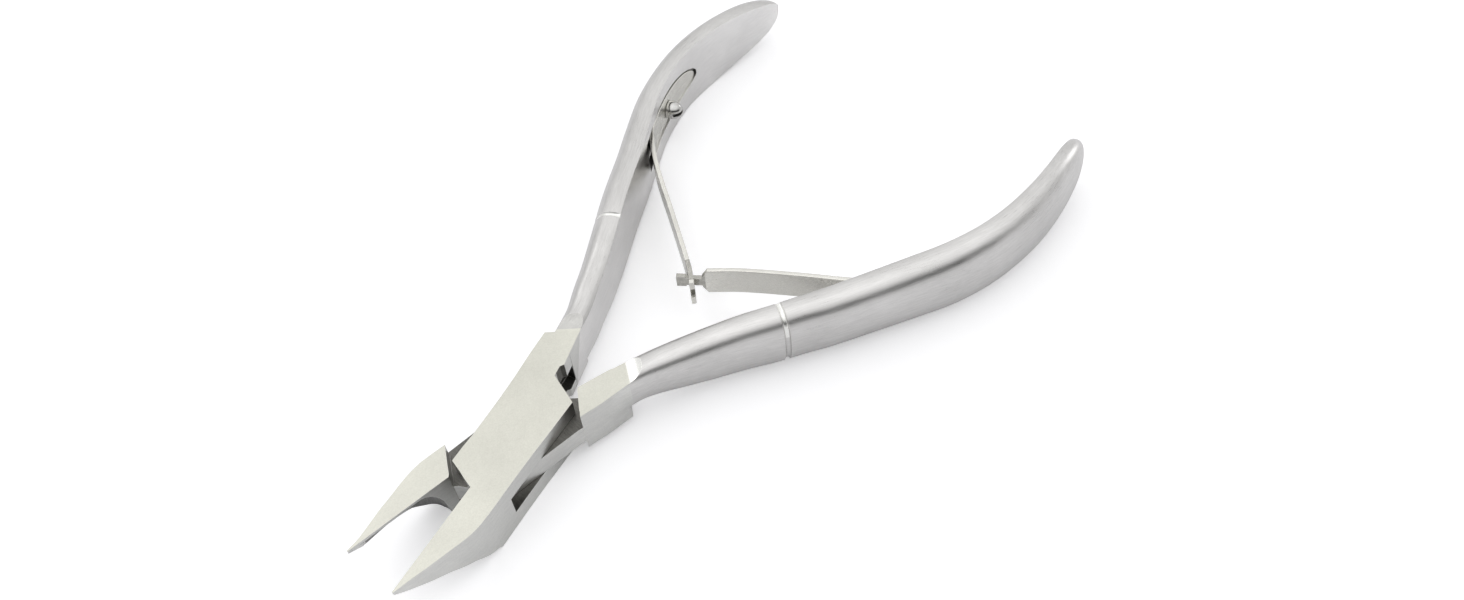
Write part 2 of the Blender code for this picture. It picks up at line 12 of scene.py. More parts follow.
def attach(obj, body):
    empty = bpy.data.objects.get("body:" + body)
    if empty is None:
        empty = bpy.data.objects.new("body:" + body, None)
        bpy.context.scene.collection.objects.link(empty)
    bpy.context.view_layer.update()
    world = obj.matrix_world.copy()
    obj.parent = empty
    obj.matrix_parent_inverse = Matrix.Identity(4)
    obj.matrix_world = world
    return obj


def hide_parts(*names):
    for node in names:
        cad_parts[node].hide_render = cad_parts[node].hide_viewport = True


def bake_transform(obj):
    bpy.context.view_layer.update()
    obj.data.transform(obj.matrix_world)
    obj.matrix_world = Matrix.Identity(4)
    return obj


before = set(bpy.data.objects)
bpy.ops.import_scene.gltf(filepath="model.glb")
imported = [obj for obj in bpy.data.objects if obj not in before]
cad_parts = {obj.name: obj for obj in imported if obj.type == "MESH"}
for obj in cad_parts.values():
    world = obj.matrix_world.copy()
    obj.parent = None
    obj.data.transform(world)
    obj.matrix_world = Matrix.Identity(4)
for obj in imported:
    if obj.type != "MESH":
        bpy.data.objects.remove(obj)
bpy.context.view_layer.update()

PIN_SEAM = 0.005           # seam round the riveted pin in the cheeks
MM = 0.001

# ---------------------------------------------------------------- dimensions
OPEN_OUTER = 11.5          # rest angle of the outer half, degrees
OPEN_INNER = -7.8          # rest angle of the inner half, degrees
Z_TOP = 9.3                # thickness of the ground box and jaws
SLOT_LO, SLOT_HI = 2.85, 6.45      # slot between the two cheeks
TONGUE_GAP = 0.06          # tongue to cheek, each side
PIN_R, PIN_FIT = 2.0, 0.06
EDGE_GAP = 0.06            # cutting edge to the closing line, each half
LAND = 0.5                 # height of the cutting land
Z_LEAF = 6.15              # mid height of the springs
Z_SCREW = 5.7              # height of the screws' axes
LEAF_T, LEAF_H = 0.8, 2.6  # leaf thickness and half height
POCKET_DEPTH, POCKET_H = 1.12, 3.7
POCKET_LOW = 0.735         # the pocket's lower wall is closer to the leaf than its upper one
FOOT_DEPTH = 0.22          # spring face below the handle's inner face
FOOT_TAPER, POCKET_TAPER = 8.5, 12.0     # length of the rounded ends
SCREW_R, SCREW_HEAD_R, SCREW_HEAD_H = 0.85, 1.7, 2.7
RUNOUT_R = 5.0             # radius of the grinding wheel run-out
RAW = 0.7                  # stock left above and below before grinding

# jaw plan, distance in front of the pivot and half width
JAW_OUTER = [(9.8, 5.0), (12.6, 5.0), (15.4, 4.85), (17.2, 4.45), (20.1, 3.4),
             (23.1, 2.3), (26.0, 1.15), (28.4, 0.3)]
JAW_INNER = [(9.6, 5.05), (12.8, 5.0), (14.8, 4.65), (17.1, 3.95), (19.2, 3.2),
             (21.3, 2.5), (23.4, 1.65), (25.9, 0.7), (27.95, 0.25)]
# jaw underside height against the distance in front of the pivot
JAW_BELLY = [(9.0, -RAW), (12.6, -0.35), (13.4, 0.5), (15.1, 1.3), (16.3, 2.1), (17.1, 2.7),
             (19.2, 3.6), (21.2, 4.7), (23.9, 5.9), (26.5, 7.3), (28.4, 8.65)]
# the inner half's jaw is thinned further towards its tip
JAW_BELLY_INNER = [(9.0, -RAW), (12.6, -0.35), (13.4, 0.5), (15.1, 1.5), (16.3, 2.7), (17.1, 3.6),
                   (19.2, 5.0), (21.2, 6.0), (23.9, 7.2), (26.5, 8.2), (28.4, 8.7)]

# handle stations at rest: y, inner face x of each half, depth of each half,
# inner face top, inner face bottom, crown above the inner edge, roundness
HANDLE = [
    (9.5, -1.60, 1.95, 4.1, 4.5, 9.4, 1.4, 0.90, 3.2),
    (15.0, -3.43, 3.60, 4.2, 4.7, 9.4, 1.7, 0.90, 2.9),
    (19.0, -4.82, 4.90, 4.3, 4.8, 9.3, 2.1, 0.95, 2.6),
    (23.0, -6.26, 6.45, 4.5, 4.8, 9.35, 2.2, 0.90, 2.4),
    (27.0, -8.21, 8.60, 4.8, 4.8, 9.8, 2.0, 0.75, 2.3),
    (31.0, -10.18, 11.00, 4.9, 4.8, 10.3, 1.6, 0.60, 2.3),
    (35.0, -12.34, 13.60, 5.0, 4.8, 10.9, 1.3, 0.45, 2.3),
    (39.0, -14.60, 16.40, 5.1, 4.8, 11.3, 1.0, 0.35, 2.3),
    (43.0, -16.88, 18.95, 5.25, 4.8, 11.5, 0.9, 0.30, 2.3),
    (47.0, -19.08, 21.40, 5.3, 5.0, 11.6, 0.8, 0.28, 2.3),
    (53.0, -22.24, 24.70, 5.3, 5.1, 11.7, 0.6, 0.25, 2.3),
    (59.0, -25.68, 28.10, 5.2, 5.1, 12.0, 0.4, 0.20, 2.3),
    (65.0, -28.87, 31.40, 5.1, 5.0, 12.3, 0.25, 0.20, 2.3),
    (71.0, -31.16, 33.60, 5.0, 4.9, 12.3, 0.2, 0.20, 2.3),
    (77.0, -32.52, 34.80, 5.1, 4.8, 12.2, 0.2, 0.20, 2.3),
    (83.0, -32.85, 35.25, 5.2, 4.7, 12.2, 0.2, 0.20, 2.3),
    (89.0, -32.60, 35.00, 5.2, 4.5, 12.2, 0.2, 0.20, 2.3),
    (95.0, -31.90, 34.20, 5.1, 4.2, 12.2, 0.2, 0.20, 2.3),
    (102.4, -30.45, 32.70, 4.9, 4.0, 12.2, 0.2, 0.20, 2.3),
]
# the inner half's handle is drawn in where it leaves the block: y, depth taken off, underside raised
NECK = [(12.0, 0.1, 0.4), (15.0, 0.35, 1.2), (17.3, 0.45, 1.9), (19.6, 0.42, 1.85), (22.0, 0.28, 1.25),
        (24.5, 0.12, 0.7), (27.0, 0.04, 0.25), (30.0, 0.0, 0.0)]
END_FROM, END_AT = 79.0, {-1: 102.3, 1: 101.9}    # the handle tapers in height between these
GROOVE_Y, GROOVE_W, GROOVE_D = {-1: 39.6, 1: 40.4}, 0.8, 0.35

# free part of each leaf at rest, from the lift-off to the interlock
LEAF_OUTER = [(-25.15, 58.3), (-23.5, 56.75), (-21.0, 54.65), (-17.9, 52.3),
              (-11.8, 48.0), (-5.0, 43.1), (-1.2, 40.3), (0.35, 39.1), (2.4, 37.15)]
LEAF_INNER = [(26.65, 56.3), (25.1, 54.75), (23.0, 53.2), (15.1, 48.8),
              (6.8, 43.85), (1.76, 40.1), (0.35, 39.15), (-1.64, 37.8)]
FOOT_OUTER_Y = (78.4, 75.5, 72.0, 68.0, 64.0, 60.6)
FOOT_INNER_Y = (76.4, 73.5, 70.0, 66.0, 62.0, 58.6)
SCREW_OUTER_Y, SCREW_INNER_Y = 68.3, 66.3


# ---------------------------------------------------------------- helpers
def rot(p, deg):
    c, s = math.cos(math.radians(deg)), math.sin(math.radians(deg))
    return (c * p[0] - s * p[1], s * p[0] + c * p[1])


def lerp_table(table, x, col=1):
    if x <= table[0][0]:
        return table[0][col]
    for a, b in zip(table, table[1:]):
        if x <= b[0]:
            t = (x - a[0]) / (b[0] - a[0])
            return a[col] + (b[col] - a[col]) * t
    return table[-1][col]


def hermite_table(table, x, col):
    """Smooth interpolation through the table (finite-difference tangents)."""
    n = len(table)
    i = 0
    while i < n - 2 and x > table[i + 1][0]:
        i += 1
    x0, x1 = table[i][0], table[i + 1][0]

    def slope(k):
        a, b = max(k - 1, 0), min(k + 1, n - 1)
        return (table[b][col] - table[a][col]) / (table[b][0] - table[a][0])

    h = x1 - x0
    t = (x - x0) / h
    y0, y1, m0, m1 = table[i][col], table[i + 1][col], slope(i) * h, slope(i + 1) * h
    return ((2 * t ** 3 - 3 * t ** 2 + 1) * y0 + (t ** 3 - 2 * t ** 2 + t) * m0
            + (-2 * t ** 3 + 3 * t ** 2) * y1 + (t ** 3 - t ** 2) * m1)


def curve_points(ctrl, steps):
    """Catmull-Rom curve through the control points."""
    pts = []
    n = len(ctrl)
    for i in range(n - 1):
        p0 = Vector(ctrl[max(i - 1, 0)])
        p1, p2 = Vector(ctrl[i]), Vector(ctrl[i + 1])
        p3 = Vector(ctrl[min(i + 2, n - 1)])
        d = (p2 - p1).length
        m1 = (p2 - p0) * (d / max((p2 - p0).length, 1e-9))
        m2 = (p3 - p1) * (d / max((p3 - p1).length, 1e-9))
        for k in range(steps):
            t = k / steps
            pts.append(p1 * (2 * t ** 3 - 3 * t ** 2 + 1) + m1 * (t ** 3 - 2 * t ** 2 + t)
                       + p2 * (-2 * t ** 3 + 3 * t ** 2) + m2 * (t ** 3 - t ** 2))
    pts.append(Vector(ctrl[-1]))
    return pts


def mesh_object(name, verts, faces):
    me = bpy.data.meshes.new(name)
    bm = bmesh.new()
    vs = [bm.verts.new((x * MM, y * MM, z * MM)) for x, y, z in verts]
    for f in faces:
        bm.faces.new([vs[i] for i in f])
    bmesh.ops.recalc_face_normals(bm, faces=bm.faces)
    if bm.calc_volume(signed=True) < 0:
        bmesh.ops.reverse_faces(bm, faces=bm.faces)
    bm.to_mesh(me)
    bm.free()
    ob = bpy.data.objects.new(name, me)
    bpy.context.scene.collection.objects.link(ob)
    return ob


def ring_solid(name, rings):
    """Closed solid through equal rings of points, capped at both ends."""
    n = len(rings[0])
    verts = [p for r in rings for p in r]
    faces = []
    for i in range(len(rings) - 1):
        for k in range(n):
            a, b = i * n + k, i * n + (k + 1) % n
            faces.append((a, b, b + n, a + n))
    faces.append(tuple(range(n)))
    faces.append(tuple((len(rings) - 1) * n + k for k in range(n)))
    return mesh_object(name, verts, faces)


def prism(name, outline, z0, z1):
    return ring_solid(name, [[(x, y, z0) for x, y in outline],
                             [(x, y, z1) for x, y in outline]])


def cylinder_z(name, x, y, r, z0, z1, seg=48):
    ring = [(x + r * math.cos(2 * math.pi * k / seg), y + r * math.sin(2 * math.pi * k / seg))
            for k in range(seg)]
    return prism(name, ring, z0, z1)


def combine(target, tool, operation):
    """Boolean the tool into the target with the exact solver, then drop the tool."""
    tool.hide_render = True
    tool.display_type = 'WIRE'
    mod = target.modifiers.new(operation.lower(), 'BOOLEAN')
    mod.operation = operation
    mod.solver = 'EXACT'
    mod.object = tool
    dg = bpy.context.evaluated_depsgraph_get()
    me = bpy.data.meshes.new_from_object(target.evaluated_get(dg))
    target.modifiers.clear()
    old = target.data
    target.data = me
    bpy.data.meshes.remove(old)
    bpy.data.objects.remove(tool)


TOP, SIDE, RUNOUT, PAINTED_SHADE_ZONE, HOLLOW, HANDLE_FACE, GROOVE_HIGHLIGHT_ZONE, INSIDE = range(8)
GRIND = {-1: ((-0.482, 0.875), 17.75), 1: ((0.482, 0.875), 17.6)}


MARK_AT = {}


def is_inside(c, n, side):
    """Whether a face is part of the handle's flat inner face."""
    x, y = rot((c.x, c.y), OPEN_OUTER if side < 0 else OPEN_INNER)
    p, out = face_frame(side, min(max(y, 9.5), 102.0))
    nx, ny = rot((n.x, n.y), OPEN_OUTER if side < 0 else OPEN_INNER)
    return abs(n.z) < 0.25 and nx * out.x + ny * out.y < -0.9


def zone_of(c, n, side):
    """Which material a face of a half gets (its finish, or a painted shade or painted highlight copy), from its
    middle and normal in the closed frame, mm.
    """
    (nx, ny), off = GRIND[side]
    ln = math.hypot(nx, ny)
    if c.y > 30.0:
        p, out, run = MARK_AT[side]
        rel = Vector(rot((c.x, c.y), OPEN_OUTER if side < 0 else OPEN_INNER)) - p
        # painted highlight on the turned groove's upper part, above 7.8 mm
        if abs(rel.dot(run)) < GROOVE_W * 0.46 and rel.dot(out) > 0.03 and c.z > 7.8:
            return GROOVE_HIGHLIGHT_ZONE
        return INSIDE if is_inside(c, n, side) else HANDLE_FACE
    u = (nx * c.x + ny * c.y) / ln
    if n.z > 0.995 and abs(c.z - Z_TOP) < 0.03:
        return TOP
    if u > off and c.z > Z_TOP - 0.02 and n.z > 0.3 and \
            abs(math.hypot(u - off, c.z - Z_TOP - RUNOUT_R) - RUNOUT_R) < 0.02:
        return RUNOUT
    if n.z < -0.995 and c.z < 0.03:
        return TOP
    # painted shade on the faces of the slot between the outer half's cheeks
    if side < 0 and SLOT_LO - 0.02 < c.z < SLOT_HI + 0.02 and -11.78 < c.y < 15.4:
        if abs(n.z) > 0.9 or (c.x < 4.4 and c.y < -7.0) or (c.y > 5.0 and c.x > -4.4):
            return PAINTED_SHADE_ZONE
    # painted shade on a strip of the outer cheek's side by the box
    if side < 0 and 11.3 < c.y < 13.45 and c.z > 3.0 and abs(n.z) < 0.3 and -0.45 < c.x < 0.5:
        return PAINTED_SHADE_ZONE
    # painted shade on the inner half's tongue top and on its block's face towards the box
    if side > 0 and n.z > 0.9 and c.y < 11.5 and c.z < SLOT_HI + 0.02:
        return PAINTED_SHADE_ZONE
    if side > 0 and n.y < -0.4 and 8.0 < c.y < 12.6:
        return PAINTED_SHADE_ZONE
    # painted shade on the jaw faces under the land that face outward or down, in the hollow
    if -28.8 < c.y < -12.4 and n.z < 0.6:
        edge = abs(c.x) < 0.35 and abs(n.z) < 0.2
        belly = hermite_table(JAW_BELLY if side < 0 else JAW_BELLY_INNER, min(-c.y, 28.4), 1)
        if not edge and (n.x * side > 0.15 or (n.z < -0.25 and c.z > belly + 0.15)):
            return HOLLOW
    if c.y < 17.2 and abs(n.z) < 0.35:
        return SIDE
    if c.y < 11.0 and abs(n.z) > 0.9:
        return SIDE
    return INSIDE if c.y > 17.2 and is_inside(c, n, side) else HANDLE_FACE


def flow_of(x, y, z, side):
    """Coordinates that run along the handle: across, along, up, in metres."""
    yc = min(max(y, 9.5), 102.0)
    return ((x - inner_x(side, yc)) * MM, y * MM, z * MM)


def add_flow(ob, side, deg=0.0):
    """Stores the rest place of each vertex along the handle, for the brushed grain."""
    me = ob.data
    at = me.attributes.get('flow') or me.attributes.new('flow', 'FLOAT_VECTOR', 'POINT')
    vals = []
    for v in me.vertices:
        x, y = v.co.x / MM, v.co.y / MM
        vals.extend(flow_of(x, y, v.co.z / MM, side))
    at.data.foreach_set('vector', vals)


def clean(ob, flat=0.3):
    """Merges coincident points, dissolves degenerate pieces, splits faces of more than four corners into
    triangles and evens the normals.
    """
    bm = bmesh.new()
    bm.from_mesh(ob.data)
    bmesh.ops.remove_doubles(bm, verts=bm.verts, dist=0.0000015)
    bmesh.ops.dissolve_degenerate(bm, edges=bm.edges, dist=0.0000015)
    bmesh.ops.triangulate(bm, faces=[f for f in bm.faces if len(f.verts) > 4])
    bmesh.ops.recalc_face_normals(bm, faces=bm.faces)
    bm.to_mesh(ob.data)
    bm.free()


def smooth_shade(ob, angle=28):
    ob.data.shade_smooth()
    ob.data.set_sharp_from_angle(angle=math.radians(angle))
    mod = ob.modifiers.new('weighted', 'WEIGHTED_NORMAL')
    mod.mode = 'FACE_AREA'
    mod.weight = 60
    mod.keep_sharp = True


def finish_half(ob, deg, side):
    """Sorts the faces by finish and by painted shade or highlight, turns the half to its rest angle and stores
    the grain flow.
    """
    clean(ob)
    me = ob.data
    at, out = face_frame(side, GROOVE_Y[side])
    MARK_AT[side] = (at, out, Vector((-out.y, out.x)))
    for p in me.polygons:
        p.material_index = zone_of(p.center / MM, p.normal, side)
    me.transform(Matrix.Rotation(math.radians(deg), 4, 'Z'))
    add_flow(ob, side)
    smooth_shade(ob)


def handle_solid(name, side, deg, n_ring, seg):
    """The forged handle with its turned mark, in the closed frame."""
    y0, y1 = HANDLE[0][0], END_AT[side]
    gy = GROOVE_Y[side]
    ys = []
    for i in range(n_ring + 1):
        t = i / n_ring
        ys.append(y0 + (y1 - y0) * (t * 1.18 - 0.18 * t ** 4 if t < 1 else 1.0))
    # closer rings where the tip rounds off
    ys += [END_AT[side] - 2.6 * (1 - math.sin(math.radians(a))) for a in range(6, 90, 6)]
    ys = sorted(y for y in ys if abs(y - gy) > GROOVE_W * 0.75)
    ys = [y for i, y in enumerate(ys) if i == 0 or y - ys[i - 1] > 0.03 or y == ys[-1]]
    half = GROOVE_W / 2
    ys += [gy + half * k for k in (-1.12, -1.0, -0.86, -0.66, -0.4, -0.13, 0.13, 0.4, 0.66, 0.86, 1.0, 1.12)]
    rings = []
    for y in sorted(ys):
        rings.append([(*rot((x, yy), -deg), z) for x, yy, z in handle_ring(side, y, seg)])
    return ring_solid(name, rings)


def pocket_solid(name, side, deg, y_from, y_end):
    """Shallow milled pocket with a long rounded end, its floor edges filleted."""
    rings = []
    r = POCKET_H
    y_full = y_end - POCKET_TAPER
    ys = [y_from + (y_full - y_from) * i / 24 for i in range(25)]
    ys += [y_full + POCKET_TAPER * math.sin(math.radians(a)) for a in
           (4, 8, 12, 16, 20, 25, 30, 35, 40, 45, 50, 55, 60, 65, 69, 73, 77, 80.5, 84)]
    fil = 0.35
    for y in ys:
        p, n = face_frame(side, y)
        h = r if y <= y_full else r * math.sqrt(max(1 - ((y - y_full) / POCKET_TAPER) ** 2, 0.0))
        ring = []
        for s in (-1, 1):
            hs = h if s > 0 else h * POCKET_LOW
            f = min(fil, hs * 0.6)
            ring_s = [(p - n * 3.0, Z_LEAF + s * hs)]
            for a in (0, 22.5, 45, 67.5, 90):
                c, d = math.cos(math.radians(a)), math.sin(math.radians(a))
                ring_s.append((p + n * (POCKET_DEPTH - f + f * d), Z_LEAF + s * (hs - f + f * c)))
            ring += ring_s if s < 0 else ring_s[::-1]
        rings.append([(*rot(q, -deg), z) for q, z in ring])
    return ring_solid(name, rings)


def jaw_solid(name, table, side):
    """side +1: the jaw lies at +X of its own cutting line."""
    v0, v1 = table[0][0], table[-1][0]
    vs = sorted(set([v0 + (v1 - v0) * i / 46 for i in range(47)] + [12.6, 13.0, 13.4, 14.2]))
    vs = [v for v in vs if v0 <= v <= v1]
    belly = JAW_BELLY if side > 0 else JAW_BELLY_INNER
    rings = []
    for v in vs:
        w = max(hermite_table(table, v, 1), 0.2)
        zb = hermite_table(belly, v, 1)
        a, b = EDGE_GAP * side, w * side
        rings.append([(a, -v, zb), (b, -v, zb), (b, -v, Z_TOP + RAW), (a, -v, Z_TOP + RAW)])
    return ring_solid(name, rings)


def hollow_solid(name, table, side, seg=20):
    """Hollow-ground relief under the cutting land, ending in the throat arch."""
    rings = []
    start, full = 12.6, 16.4
    end = table[-1][0]
    belly = JAW_BELLY if side > 0 else JAW_BELLY_INNER
    vs = [start + (full - start) * (1 - math.cos(math.radians(a))) for a in
          (8, 15, 22, 29, 36, 43, 50, 57, 64, 71, 78, 84)]
    vs += [full + (29.5 - full) * i / 34 for i in range(35)]
    for v in vs:
        k = math.sqrt(max(1 - ((full - v) / (full - start)) ** 2, 0.0)) if v < full else 1.0
        w = max(hermite_table(table, v, 1) - 0.55, 0.12) if v < end else 0.1
        zb = min(hermite_table(belly, min(v, 28.4), 1), Z_TOP - LAND - 0.3)
        x_out = (EDGE_GAP + (w - EDGE_GAP) * (0.25 + 0.75 * k)) * side
        x_in = (EDGE_GAP - 1.4) * side
        top = zb + (Z_TOP - LAND - zb) * k
        ring = [(x_in, -v, -3.0), (x_out, -v, -3.0)]
        for i in range(seg + 1):
            a = math.pi / 2 * i / seg
            x = EDGE_GAP * side + (x_out - EDGE_GAP * side) * math.cos(a)
            ring.append((x, -v, zb + (top - zb) * math.sin(a)))
        ring.append((x_in, -v, top))
        rings.append(ring)
    return ring_solid(name, rings)


def grind_top(name, normal, offset):
    """Everything above the ground top, with the wheel run-out behind it."""
    nx, ny = normal
    ln = math.hypot(nx, ny)
    nx, ny = nx / ln, ny / ln
    prof = [(-60.0, Z_TOP)]
    for i in range(41):
        a = math.radians(62) * i / 40
        prof.append((offset + RUNOUT_R * math.sin(a), Z_TOP + RUNOUT_R * (1 - math.cos(a))))
    prof += [(prof[-1][0], 30.0), (-60.0, 30.0)]
    ex, ey = ny, -nx
    rings = []
    for s in (-40.0, 40.0):
        rings.append([(nx * u + ex * s, ny * u + ey * s, z) for u, z in prof])
    return ring_solid(name, rings)


# ---------------------------------------------------------------- handle
# side is -1 for the outer half (handle at -X) and +1 for the inner half
def inner_x(side, y):
    return hermite_table(HANDLE, y, 1 if side < 0 else 2)


def face_frame(side, y):
    """Point on the inner face and the outward direction, in plan at rest."""
    e = 0.25
    t = Vector((inner_x(side, y + e) - inner_x(side, y - e), 2 * e)).normalized()
    n = Vector((t.y, -t.x)) * side
    return Vector((inner_x(side, y), y)), n


def handle_ring(side, y, seg):
    p, n = face_frame(side, y)
    depth = hermite_table(HANDLE, y, 3 if side < 0 else 4)
    z_hi, z_lo = hermite_table(HANDLE, y, 5), hermite_table(HANDLE, y, 6)
    crown, power = hermite_table(HANDLE, y, 7), hermite_table(HANDLE, y, 8)
    if side > 0 and y < NECK[-1][0]:
        depth -= lerp_table(NECK, y, 1) if y < NECK[0][0] else hermite_table(NECK, y, 1)
        z_lo += lerp_table(NECK, y, 2) if y < NECK[0][0] else hermite_table(NECK, y, 2)
    zc, hi = (z_hi + z_lo) / 2, (z_hi - z_lo) / 2
    shift = 0.0
    end = END_AT[side]
    if y > END_FROM:
        t = (y - END_FROM) / (end + 0.25 - END_FROM)
        k = math.sqrt(max(1 - t * t, 0.0))
        hi, crown = hi * k, crown * k
        u = max(0.0, (y - end + 9.0) / 9.25)
        kd = math.sqrt(max(1 - u * u, 0.0))
        shift = depth * (1 - kd) * 0.35
        depth = depth * kd
    b = hi + crown
    g = GROOVE_D * max(0.0, 1 - (abs(y - GROOVE_Y[side]) / (GROOVE_W / 2)) ** 4)
    q = (1 - (hi / b) ** power) ** (1 / power)
    a = depth / (1 + q)
    d0 = q * a
    last = math.pi - math.acos(q ** (power / 2))
    ring = []
    for i in range(seg + 1):
        ph = last * (1 - 2 * i / seg)
        c, s = math.cos(ph), math.sin(ph)
        d = d0 + a * math.copysign(abs(c) ** (2 / power), c)
        z = b * math.copysign(abs(s) ** (2 / power), s)
        if i in (0, seg):
            d = 0.0
        if g:
            k = min(1.0, d / 1.2)
            d -= g * k * max(c, 0.0) if d > g else 0.0
            z -= g * s * min(1.0, 0.35 + k)
        q2 = p + n * (d + shift)
        ring.append((q2.x, q2.y, zc + z))
    return ring


def along(name, p, n, profile, seg, deg=0.0):
    """Turned solid about the direction n through p; profile is (t, radius)."""
    side = Vector((-n.y, n.x))
    rings = []
    for t, r in profile:
        ring = []
        for k in range(seg):
            a = 2 * math.pi * k / seg
            q = p + n * t + side * (r * math.cos(a))
            x, y = rot(q, -deg)
            ring.append((x, y, Z_SCREW + r * math.sin(a)))
        rings.append(ring)
    return ring_solid(name, rings)


# ---------------------------------------------------------------- underside grind


def grind_bottom(name):
    return prism(name, [(-60, -60), (60, -60), (60, 60), (-60, 60)], -20.0, 0.0)


# ---------------------------------------------------------------- outer half
def build_outer_half(n_ring=190, seg=52):
    deg = OPEN_OUTER
    body = handle_solid('outer_half', -1, deg, n_ring, seg)
    box = [(-5.3, 9.2), (-5.2, 8.0), (-5.0, 4.0), (-4.9, 0.0), (-4.85, -3.0), (-4.95, -5.5),
           (-4.95, -8.1), (-2.9, -9.05), (-1.4, -9.85), (0.05, -10.5), (0.4, -10.7),
           (0.3, -11.4), (EDGE_GAP, -12.4), (EDGE_GAP, -13.0), (5.0, -12.9), (5.0, -6.0),
           (5.05, -2.0), (5.2, 3.0), (5.3, 8.0), (4.1, 8.75), (1.6, 10.15), (0.3, 10.9),
           (-0.2, 11.6)]
    combine(body, prism('box', box, -RAW, Z_TOP + RAW), 'UNION')
    root = [(-0.2, 11.6), (-0.22, 12.4), (0.05, 12.9), (0.38, 13.3), (-0.05, 15.4), (-0.95, 19.9), (-5.8, 17.2),
            (-5.6, 13.0), (-5.3, 9.2), (-3.0, 8.0), (-0.4, 8.0)]
    combine(body, prism('root', root, 1.25, Z_TOP + RAW), 'UNION')
    jaw = jaw_solid('jaw', JAW_OUTER, 1)
    combine(body, jaw, 'UNION')
    combine(body, hollow_solid('hollow', JAW_OUTER, 1), 'DIFFERENCE')
    slot = [(7.5, -7.15), (0.0, -11.2), (-0.7, -11.7), (-8.0, -11.6), (-8.0, 5.72),
            (-1.55, 9.98), (-1.55, 15.3), (3.0, 15.3), (7.5, 12.0)]
    combine(body, prism('slot', slot, SLOT_LO, SLOT_HI), 'DIFFERENCE')
    combine(body, cylinder_z('bore', 0, 0, PIN_R + PIN_SEAM, -5, 20, 96), 'DIFFERENCE')
    combine(body, grind_top('grind', (-0.482, 0.875), 17.75), 'DIFFERENCE')
    combine(body, grind_bottom('grind_under'), 'DIFFERENCE')
    combine(body, pocket_solid('pocket', -1, deg, 55.6, 78.9), 'DIFFERENCE')
    p, n = face_frame(-1, SCREW_OUTER_Y)
    combine(body, along('screw_hole', p, n, [(-1.0, SCREW_R + 0.1), (4.0, SCREW_R + 0.1)], 20, deg),
            'DIFFERENCE')
    finish_half(body, deg, -1)
    return body


# ---------------------------------------------------------------- inner half
def build_inner_half(n_ring=190, seg=52):
    deg = OPEN_INNER
    body = handle_solid('inner_half', 1, deg, n_ring, seg)
    # the handle stops behind the box, so that the box can swing in when the jaws close
    clear = [(-1.5, 12.94), (0.722, 11.458), (5.222, 8.458), (7.5, 6.94), (7.5, 2.0), (-1.5, 2.0)]
    combine(body, prism('clear', clear, -5.0, 20.0), 'DIFFERENCE')
    block = [(0.75, 11.5), (5.25, 8.5), (5.4, 10.2), (5.6, 12.0), (5.65, 14.0), (5.75, 16.9),
             (2.45, 18.9), (1.65, 17.0), (1.35, 15.2)]
    combine(body, prism('block', block, 1.25, Z_TOP + RAW), 'UNION')
    z0, z1 = SLOT_LO + TONGUE_GAP, SLOT_HI - TONGUE_GAP
    tongue = [(5.3, 9.6), (5.1, 7.6), (5.1, -7.35), (0.3, -10.5), (-0.4, -11.4), (-4.7, -9.4),
              (-5.6, -8.3), (-5.75, -3.5), (-5.4, 3.0), (-5.1, 7.35), (-0.3, 10.5), (1.4, 12.4)]
    combine(body, prism('tongue', tongue, z0, z1), 'UNION')
    rootb = [(-EDGE_GAP, -11.2), (-0.5, -10.85), (-1.8, -10.2), (-3.3, -9.4), (-5.0, -8.5),
             (-5.05, -10.5), (-5.0, -12.9), (-EDGE_GAP, -13.0)]
    combine(body, prism('jaw_root', rootb, -RAW, Z_TOP + RAW), 'UNION')
    table = [(11.3, lerp_table(JAW_INNER, 11.3))] + [r for r in JAW_INNER if r[0] > 11.5]
    combine(body, jaw_solid('jaw', table, -1), 'UNION')
    combine(body, hollow_solid('hollow', JAW_INNER, -1), 'DIFFERENCE')
    combine(body, cylinder_z('bore', 0, 0, PIN_R + PIN_FIT, -5, 20, 96), 'DIFFERENCE')
    combine(body, grind_top('grind', (0.482, 0.875), 17.6), 'DIFFERENCE')
    combine(body, grind_bottom('grind_under'), 'DIFFERENCE')
    combine(body, pocket_solid('pocket', 1, deg, 52.8, 76.9), 'DIFFERENCE')
    p, n = face_frame(1, SCREW_INNER_Y)
    combine(body, along('screw_hole', p, n, [(-1.0, SCREW_R + 0.1), (4.0, SCREW_R + 0.1)], 20, deg),
            'DIFFERENCE')
    finish_half(body, deg, 1)
    return body


# ---------------------------------------------------------------- springs
def leaf_path(side, foot_ys, free):
    ctrl = []
    for y in foot_ys:
        p, n = face_frame(side, y)
        q = p + n * (FOOT_DEPTH + LEAF_T / 2)
        ctrl.append((q.x, q.y))
    return curve_points(ctrl + free, 10)


def slab(name, p, q, half, z0, z1):
    """Box along the plan segment p-q."""
    d = (q - p).normalized()
    n = Vector((d.y, -d.x)) * half
    return prism(name, [tuple(p + n), tuple(q + n), tuple(q - n), tuple(p - n)], z0, z1)


# ---------------------------------------------------------------- fine leaves
def leaf_ring(p, n, h):
    """Rounded rectangle across the leaf: n is half its thickness."""
    r = min(0.13, h * 0.6)
    t = n.length
    u = n / t
    out = []
    for cx, cz, a0 in ((1, 1, 0), (-1, 1, 90), (-1, -1, 180), (1, -1, 270)):
        for a in (0, 30, 60, 90):
            g = math.radians(a0 + a)
            d = cx * (t - r) + r * math.cos(g)
            z = cz * (h - r) + r * math.sin(g)
            q = p + u * d
            out.append((q.x, q.y, Z_LEAF + z))
    return out


